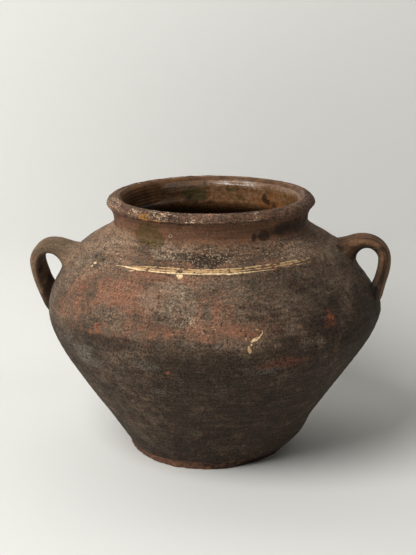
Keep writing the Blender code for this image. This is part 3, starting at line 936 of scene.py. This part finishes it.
def build_base(name):
    edge = spaced(base_line(), FINE_ROW)
    bottom = spaced(np.array([[CAP_RADIUS, 0.0], edge[0]]), INNER_ROW)[:-1]
    line = np.vstack([bottom, edge, [[CAP_RADIUS, FLOOR_HEIGHT]]])
    points = turned_points(line)
    rough = 0.001 * layered_noise(points, 0.008, 3) + 0.0006 * noise(points, 0.03)
    ledge = BASE_LEDGE * ease(0.2, -0.5, points[:, 0] / radius_of(points))
    points = pushed_out(points, (rough + ledge) * ease(0.06, 0.078, radius_of(points)))
    return mesh_object(name, settle(points), capped_faces(len(line), BEARINGS), paint_layers(points))


# Glaze lining, with a thick roll of glaze near the lip and the line below which shade is painted on the
# inside
ROLL_BEARING = math.radians(166.0)
ROLL_HEIGHT = 0.2555
ROLL_SIZE = (0.014, 0.003)
ROLL_RISE = 0.001
SHADE_LINE = 0.2285
SHADE_RISE = 0.008
SHADE_RISE_LEFT = 0.036


def lining_line():
    """Up the near side of the glaze from the middle of the floor, and back down its far side."""
    belly = belly_line(LINING_INSET)
    belly[0, 1] = LINING_FLOOR
    throat = throat_line(LINING_INSET)[:-LINING_STOP]
    near = np.vstack([[(CAP_RADIUS, LINING_FLOOR)], belly, collar_line(LINING_INSET)[1:], throat])
    far = near.copy()
    far[1:, 0] += LINING_THICKNESS
    far[:2, 1] -= LINING_THICKNESS
    joint = len(belly)
    return np.vstack([
        spaced(near[:joint + 1], LINING_ROW)[:-1], spaced(near[joint:], THROAT_ROW),
        spaced(far, LINING_ROW)[::-1],
    ])


def lining_layers(points):
    layers = painted_patches(points, LINING_PATCHES)
    z = points[:, 2]
    bearing = bearing_of(points)
    side = np.sin(bearing)
    comb = np.abs(finger_lines(points, 0.003, 0.6, 1.2, 0.03))
    # Painted highlight along the crests of the left ridges.
    ridge = ease(0.8, 0.97, comb) * ease(-0.3, 0.4, noise(points, 0.012))
    layers["ridge"] = ridge * ease(-0.4, -0.75, side) * ease(0.247, 0.252, z)
    # Painted shade below a tilted line, and on the left of the throat.
    rise = SHADE_RISE + SHADE_RISE_LEFT * ease(0.35, -0.35, side)
    shade_line = SHADE_LINE + rise * (1.0 - np.abs(np.cos(bearing)))
    shade = ease(0.004, -0.004, z - shade_line + 0.002 * noise(points, 0.02))
    shade *= 0.08 + 0.92 * ease(0.15, 0.205, z)
    left_painted_shade = 0.6 * ease(0.05, -0.6, side)
    left_painted_shade *= ease(0.264, 0.258, z) * ease(0.225, 0.235, z)
    layers["painted_depth_shade"] = np.maximum(layers["painted_depth_shade"], np.maximum(shade, left_painted_shade))
    return layers


def build_lining(name):
    line = lining_line()
    points = turned_points(line)
    z = points[:, 2]
    bearing = bearing_of(points)
    radius = radius_of(points)
    wave = 0.00045 * np.abs(finger_lines(points, 0.0032, 1.0, 1.5, 0.02))
    wave *= ease(0.0, 0.9, noise(points, 0.03) - 0.8 * np.sin(bearing))
    aside = (bearing % math.tau - ROLL_BEARING) * radius
    roll = ROLL_RISE * bell(aside, 0.0, ROLL_SIZE[0]) * bell(z, ROLL_HEIGHT, ROLL_SIZE[1])
    lift = wave * ease(0.05, 0.08, radius) + roll
    lift -= (0.0018 + lift) * bare_throat(points) * ease(0.2385, 0.241, z)
    points = pushed_out(points, -lift)
    faces = capped_faces(len(line), BEARINGS)
    item = mesh_object(name, settle(points), faces, lining_layers(points))
    item.data.flip_normals()
    return item


right_handle, right_tree = build_handle("right_handle_skin", RIGHT_STRAP)
left_handle, left_tree = build_handle("left_handle_skin", LEFT_STRAP)

# Where the wall is near a handle: least distance to the side, least height and greatest height
ROOT_ZONE = (0.09, 0.13, 0.235)
LIMB_ZONE = (0.13, 0.155, 0.19)
HANDLE_NEAR = 0.05
SMEAR_HEIGHT = 0.158
SMEAR_SIZE = (0.018, 0.014)
SMEAR_RISE = 0.0024
# How far from a limb the painted shade on the wall reaches.
SHADE_PAINT_REACH = 0.007


def handle_gaps(points, zone):
    """How far each point of the zone lies from the nearest handle; elsewhere it counts as far."""
    aside, low, high = zone
    gaps = np.full(len(points), HANDLE_NEAR)
    near = (np.abs(points[:, 0]) > aside) & (points[:, 2] > low) & (points[:, 2] < high)
    for index in np.flatnonzero(near):
        found = [tree.find_nearest(Vector(points[index]), HANDLE_NEAR)[3] for tree in (right_tree, left_tree)]
        gaps[index] = min(gap or HANDLE_NEAR for gap in found)
    return gaps


def root_fillet(points):
    """The wall rises a little where a handle's root is smeared onto it."""
    rise = FILLET / 6.0 * np.maximum(0.0, 1.0 - handle_gaps(points, ROOT_ZONE) / FILLET) ** 2
    aside = (bearing_of(points) - RIGHT_STRAP["facing"] + HANDLE_SWING) * BELLY_RADIUS
    smear = bell(aside, 0.0, SMEAR_SIZE[0]) * bell(points[:, 2], SMEAR_HEIGHT, SMEAR_SIZE[1])
    return np.maximum(rise, SMEAR_RISE * smear)


def corner_painted_shade(points):
    """Painted shade between the wall and the lower end of a limb."""
    z = points[:, 2]
    painted_shade = 1.3 * np.maximum(0.0, 1.0 - handle_gaps(points, LIMB_ZONE) / SHADE_PAINT_REACH)
    return {"inside": painted_shade * ease(0.155, 0.162, z) * ease(0.19, 0.183, z)}


def rim_chips(points):
    """Small losses along the edge of the rim."""
    loss = np.zeros(len(points))
    for bearing, height, size, depth in zip(CHIP_BEARING, CHIP_HEIGHT, CHIP_SIZE, CHIP_DEPTH):
        centre = place(bearing, outside_radius(height), height)[0]
        gap = np.sum((points - centre) ** 2, axis=1) / size ** 2
        loss = np.maximum(loss, depth * ease(1.6, 0.4, gap + 0.5 * noise(points, 0.003)))
    return 0.0003 * noise(points, 0.005) * ease(0.24, 0.248, points[:, 2]) - loss


body = build_section("body_wall_skin", belly_line(0.0), belly_line(WALL), root_fillet, corner_painted_shade)
collar = build_section("neck_collar_skin", collar_line(0.0), collar_line(WALL), root_fillet)
rim = build_section(
    "rim_skin", rim_line(), throat_line(WALL)[:-1], rim_chips, rim_layers, FINE_ROW, throat_ridges
)
base = build_base("base_disc_skin")
lining = build_lining("glaze_lining_skin")

for item, node, slot, tones, high_tones, grit in (
    (body, "body_wall", "body_clay", BODY_TONES, COLLAR_TONES, 1.0),
    (collar, "neck_collar", "collar_clay", BODY_TONES, COLLAR_TONES, 1.0),
    (rim, "rim", "rim_clay", RIM_TONES, None, 0.9),
    (base, "base_disc", "base_clay", BASE_TONES, None, 1.0),
    (right_handle, "right_handle", "right_handle_clay", RIGHT_TONES, None, 0.55),
    (left_handle, "left_handle", "left_handle_clay", LEFT_TONES, None, 0.55),
):
    finish_piece(item, clay(slot + "_look", tones, high_tones, grit), node)
finish_piece(lining, lead_glaze("lead_glaze_look"), "glaze_lining")

CRUMB_PLACE = (0.1624, -0.0262, 0.2124)
CRUMB_SIZE = 0.0014


def build_blister(name):
    """The raised ring of a bubble that burst in the firing."""
    normal = place(BURST_BEARING, *outside_normal(BURST_HEIGHT))[0]
    side = np.array([math.cos(BURST_BEARING), math.sin(BURST_BEARING), 0.0])
    up = np.cross(normal, side)
    centre = BURST_PLACE + normal * relief((BURST_PLACE + 2.0 * BURST_SIZE * side)[None, :])[0]
    turn = np.linspace(0.0, math.tau, 32, endpoint=False)
    spoke = side * np.cos(turn)[:, None] + up * np.sin(turn)[:, None]
    reach = BURST_SIZE * (1.0 + 0.12 * np.sin(2 * turn + 0.7))
    angle = np.linspace(0.0, math.tau, 10, endpoint=False)
    across = reach[:, None] + BURST_LIP * np.cos(angle)[None, :]
    grid = spoke[:, None, :] * across[:, :, None] + normal * (BURST_LIP * np.sin(angle))[None, :, None]
    points = centre + grid.reshape(-1, 3)
    faces = [face[::-1] for face in ring_faces(len(turn), len(angle), True)]
    finish_piece(mesh_object(name, settle(points), faces), clay("blister_look", BLISTER_TONES, None, 0.5))


def build_crumb(name):
    """A crumb of clay left by the potter's thumb on the underside of the right arch, painted dark all over as
    shade.
    """
    polar = np.linspace(0.15, math.pi - 0.15, 9)[:, None]
    turn = np.linspace(0.0, math.tau, 16, endpoint=False)[None, :]
    ball = CRUMB_SIZE * place(turn, np.sin(polar), np.cos(polar))
    points = np.array(CRUMB_PLACE) + ball * (1.0 + 0.35 * noise(ball, 0.0012))[:, None]
    faces = [face[::-1] for face in capped_faces(len(polar), turn.size)]
    # Painted shade over the whole crumb.
    layers = {"inside": np.full(len(points), 1.3)}
    finish_piece(mesh_object(name, points, faces, layers), right_handle.data.materials[0])


build_blister("blister_ring")
build_crumb("clay_crumb")

# Cream slip: bearing in degrees, height above the shoulder joint and half width, along each stroke
SLIP_STROKES = {
    "slip_low_line": [
        (-44.1, -0.0007, 0.0003), (-41.0, -0.0001, 0.0007), (-35.3, -0.0004, 0.0012),
        (-33.0, -0.0006, 0.0016), (-30.7, -0.0004, 0.001), (-9.3, -0.0002, 0.001), (1.0, -0.0001, 0.0012),
        (9.0, -0.0002, 0.0013), (14.8, 0.0002, 0.0009), (21.3, 0.0007, 0.0006), (27.3, 0.0005, 0.0004),
    ],
    "slip_high_line": [
        (-35.4, 0.0012, 0.0003), (-30.1, 0.0024, 0.0006), (-24.8, 0.0032, 0.0008), (-14.8, 0.0035, 0.0011),
        (-5.1, 0.0028, 0.0009), (6.0, 0.0032, 0.0012), (13.9, 0.0034, 0.001), (20.9, 0.0042, 0.0013),
        (29.5, 0.0041, 0.0012), (35.9, 0.0042, 0.0011), (44.1, 0.0038, 0.0009), (49.3, 0.0033, 0.0004),
    ],
    "slip_faint_line": [
        (31.6, 0.0021, 0.0003), (35.6, 0.0013, 0.0006), (44.4, 0.001, 0.0006), (48.3, 0.0009, 0.0003),
    ],
    "slip_fill": [
        (-37.0, 0.0003, 0.0006), (-28.0, 0.0012, 0.0018), (-16.0, 0.0016, 0.0023), (0.0, 0.0015, 0.0019),
        (10.0, 0.0017, 0.0018), (17.0, 0.0022, 0.0008),
    ],
    "slip_fill_right": [
        (15.0, 0.002, 0.0006), (24.0, 0.0026, 0.0015), (34.0, 0.003, 0.0015), (44.0, 0.003, 0.0012),
        (51.0, 0.0036, 0.0004),
    ],
    "slip_lump": [
        (-14.3, -0.0019, 0.001), (-13.7, -0.002, 0.0028), (-12.9, -0.0021, 0.0037),
        (-12.1, -0.002, 0.0028), (-11.5, -0.0019, 0.001),
    ],
    "slip_stray": [(-36.3, -0.0029, 0.0004), (-35.1, -0.0025, 0.0008), (-33.7, -0.0018, 0.0004)],
    "slip_crumb_high": [(-58.7, -0.0046, 0.0006), (-57.8, -0.0041, 0.0017), (-56.7, -0.0036, 0.0007)],
    "slip_crumb_low": [(-58.9, -0.008, 0.0005), (-58.4, -0.0071, 0.0017), (-57.9, -0.0062, 0.0006)],
    "slip_thread": [(-59.0, -0.0098, 0.0004), (-59.3, -0.0135, 0.0004), (-59.1, -0.0172, 0.0003)],
    "slip_hook": [
        (15.7, -0.0454, 0.0004), (15.7, -0.0477, 0.0005), (14.7, -0.0507, 0.001), (13.7, -0.0525, 0.0018),
        (12.7, -0.0531, 0.0018), (12.0, -0.0541, 0.0014), (11.9, -0.0554, 0.0008),
    ],
    "slip_hook_end": [(11.9, -0.0564, 0.0006), (11.7, -0.0574, 0.0013), (11.5, -0.0584, 0.0006)],
    "slip_drop": [
        (10.7, -0.058, 0.0007), (10.9, -0.0605, 0.0019), (11.1, -0.063, 0.0021), (11.3, -0.0652, 0.0012),
    ],
    "slip_chip_left": [(10.2, -0.0506, 0.0006), (10.1, -0.0523, 0.0012), (10.1, -0.054, 0.0006)],
    "slip_chip_top": [(13.5, -0.0447, 0.0006), (14.1, -0.0446, 0.0013), (14.7, -0.0448, 0.0006)],
}
# How far a stroke is worn (less is more worn) and how thickly it lies, where it isn't like most
SLIP_STATE = {
    "slip_low_line": (0.85, 1.0), "slip_high_line": (0.55, 0.8), "slip_faint_line": (0.35, 0.55),
    "slip_fill": (0.6, 0.6), "slip_fill_right": (0.6, 0.5), "slip_thread": (0.3, 0.8),
    "slip_drop": (0.9, 0.75), "slip_chip_left": (0.6, 0.55), "slip_chip_top": (0.5, 0.5),
    "slip_lump": (2.0, 1.0),
}
MOST_SLIP = (0.9, 1.0)
SLIP_RAISE = 0.0004
SLIP_SINK = 0.0003
SLIP_STEP = 0.0003
SLIP_COLUMNS = 25
SLIP_RADIUS = 0.13
SLIP_SLANT = 1.25


def build_slip(name, stroke, material, wear, thickness):
    """A thin raised stroke of slip that lies on the wall and is rubbed through in places."""
    degrees, above, half = np.array(stroke).T
    bearing = np.radians(degrees)
    height = SHOULDER_HEIGHT + above
    run = np.hypot(np.diff(bearing) * SLIP_RADIUS, np.diff(height) * SLIP_SLANT)
    length = np.concatenate([[0.0], np.cumsum(run)])
    at = np.arange(0.0, length[-1], SLIP_STEP)
    bearing, height, half = (np.interp(at, length, values) for values in (bearing, height, half))
    radius = outside_radius(height)
    upright = outside_normal(height)[0]
    step = unit(np.column_stack([np.gradient(bearing) * radius, np.gradient(height) / upright]))
    reach = np.linspace(-1.6, 1.6, SLIP_COLUMNS)
    offset = 0.85 * half[:, None] * reach[None, :]
    turn = (bearing[:, None] - step[:, 1][:, None] * offset / radius[:, None]).ravel()
    level = (height[:, None] + step[:, 0][:, None] * offset * upright[:, None]).ravel()
    base = place(turn, outside_radius(level), level)
    fibre = np.column_stack([0.14 * np.repeat(at, SLIP_COLUMNS), offset.ravel(), np.full(offset.size, 0.31)])
    hair = layered_noise(fibre, 0.001, 2)
    ragged = 0.4 * noise(base, 0.0022) + 0.25 * noise(base, 0.0009) + 0.3 * hair
    edge = np.abs(np.tile(reach, len(at))) + ragged
    worn = wear - 0.3 * ease(0.3, 0.9, turn)
    rubbed = ease(worn - 0.45, worn + 0.45, layered_noise(base + 0.9, 0.0045, 3) + 0.4 * hair)
    cover = thickness * ease(1.15, 0.6, edge) * (1.0 - rubbed)
    lift = relief(base) + SLIP_RAISE * cover - SLIP_SINK * (1.0 - cover)
    points = base + place(turn, *outside_normal(level)) * lift[:, None]
    index = np.arange(len(points)).reshape(len(at), SLIP_COLUMNS)
    quads = np.stack([index[:-1, :-1], index[1:, :-1], index[1:, 1:], index[:-1, 1:]], axis=-1).reshape(-1, 4)
    kept = quads[cover[quads].max(axis=1) > 0.15]
    used = np.unique(kept)
    fresh = np.full(len(points), -1)
    fresh[used] = np.arange(len(used))
    item = mesh_object(name, settle(points[used]), fresh[kept].tolist(), {"cover": cover[used]})
    finish_piece(item, material)


slip_look = cream_slip("cream_slip_look")
for slip_name, slip_stroke in SLIP_STROKES.items():
    build_slip(slip_name, slip_stroke, slip_look, *SLIP_STATE.get(slip_name, MOST_SLIP))


# Studio: floor that sweeps up into a backdrop, soft light from the upper left, camera of the photograph
CAMERA_PLACE = (-0.0029, -1.4037, 0.5475)
CAMERA_PITCH = math.radians(14.81)
CAMERA_LENS = 92.83
CAMERA_SENSOR = 36.0
LIGHT_PLACE = (-1.03, -1.14, 1.58)
LIGHT_AIM = (0.0, 0.0, 0.15)
LIGHT_SIZE = 1.5
LIGHT_POWER = 48.0
LIGHT_COLOUR = (1.0, 0.985, 0.96)
AIR_COLOUR = (1.0, 0.96, 0.9)
AIR_GLOW = 0.11
AIR_SEEN = 0.6
BACKDROP_DISTANCE = 0.2
BACKDROP_RADIUS = 0.14
BACKDROP_TOP = 3.0
FLOOR_REACH = 1.7


def build_backdrop(name):
    angle = np.linspace(0.0, math.pi / 2, 25)
    bend_y = BACKDROP_DISTANCE + BACKDROP_RADIUS * np.sin(angle)
    bend_z = BACKDROP_RADIUS * (1.0 - np.cos(angle))
    bend = np.column_stack([bend_y, bend_z])
    line = np.vstack([[(-FLOOR_REACH, 0.0)], bend, [(bend_y[-1], BACKDROP_TOP)]])
    rows = len(line)
    sides = [np.column_stack([np.full(rows, x), line]) for x in (-FLOOR_REACH, FLOOR_REACH)]
    faces = [(i, i + rows, i + rows + 1, i + 1) for i in range(rows - 1)]
    floor = mesh_object(name, np.vstack(sides), faces)
    floor.data.materials.append(one_sided_paper("studio_paper"))


def build_light(name):
    light = bpy.data.lights.new(name, "AREA")
    light.shape = "DISK"
    light.size = LIGHT_SIZE
    light.energy = LIGHT_POWER
    light.color = LIGHT_COLOUR
    item = bpy.data.objects.new(name, light)
    item.location = LIGHT_PLACE
    item.rotation_euler = (Vector(LIGHT_AIM) - Vector(LIGHT_PLACE)).to_track_quat("-Z", "Y").to_euler()
    bpy.context.scene.collection.objects.link(item)


def build_air(name):
    """Dim air that lights the pot, and shows brighter where it is seen itself or in the glaze."""
    world = bpy.data.worlds.new(name)
    world.use_nodes = True
    path = add_node(world.node_tree, "ShaderNodeLightPath").outputs
    seen = Field(path["Is Camera Ray"])
    for kind in ("Is Glossy Ray", "Is Transmission Ray"):
        seen = seen.larger(Field(path[kind]))
    air = world.node_tree.nodes["Background"].inputs
    put(AIR_COLOUR, air["Color"])
    put(seen.ramp(0.0, 1.0, AIR_GLOW, AIR_SEEN), air["Strength"])
    bpy.context.scene.world = world


def build_camera(name):
    camera = bpy.data.objects.new(name, bpy.data.cameras.new(name))
    camera.data.sensor_width = CAMERA_SENSOR
    camera.data.lens = CAMERA_LENS
    camera.location = CAMERA_PLACE
    camera.rotation_euler = (math.pi / 2 - CAMERA_PITCH, 0.0, 0.0)
    bpy.context.scene.collection.objects.link(camera)
    bpy.context.scene.camera = camera


build_backdrop("studio_floor")
build_light("key_softbox")
build_air("studio_air")
build_camera("photo_camera")
bpy.context.scene.view_settings.view_transform = "Standard"
